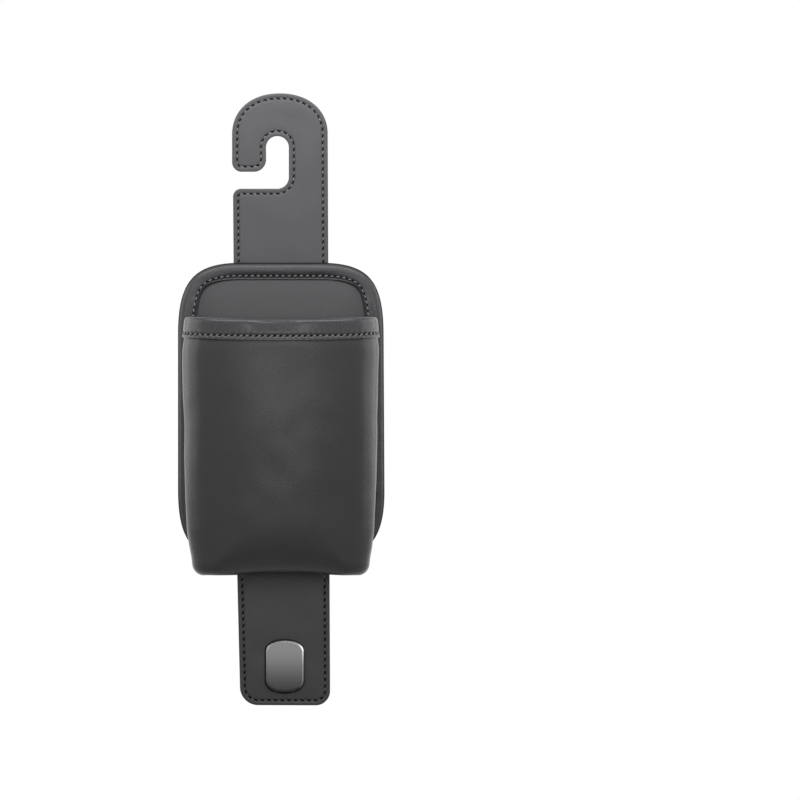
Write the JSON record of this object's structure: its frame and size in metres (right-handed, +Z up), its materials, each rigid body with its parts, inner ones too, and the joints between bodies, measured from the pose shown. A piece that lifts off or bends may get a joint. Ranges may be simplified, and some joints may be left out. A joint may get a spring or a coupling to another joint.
{
  "type": "car seat back organizer",
  "caption": "Hanging leather car seat back organizer: a hooked strap for a headrest post carries a padded panel with a sewn pocket, above a metal bag hook.",
  "frame": {"origin": "on the strap's flat back face, on the panel's centre line and at the panel's middle height", "axes": "+Z up along the strap, +Y backwards to the seat, so the pocket faces -Y, and +X to the right seen from the front"},
  "size_m": [0.1334, 0.0706, 0.3972],
  "materials": {
    "leather": "smooth dark grey, half matt",
    "lining": "matt",
    "board": "matt",
    "foam": "open-celled foam",
    "cast_metal": "satin dark nickel"
  },
  "bodies": {
    "root": {"strap_back_skin": "leather", "strap_core": "board", "strap_front_skin": "leather", "bag_hook": "cast_metal", "hook_rivet_upper": "cast_metal", "hook_rivet_lower": "cast_metal", "panel_back_cover": "lining", "panel_board": "board", "panel_foam": "foam", "panel_face": "leather", "panel_border": "leather", "pocket_shell": "leather", "pocket_hem": "leather", "mouth_stiffener": "board"}
  },
  "joints": []
}
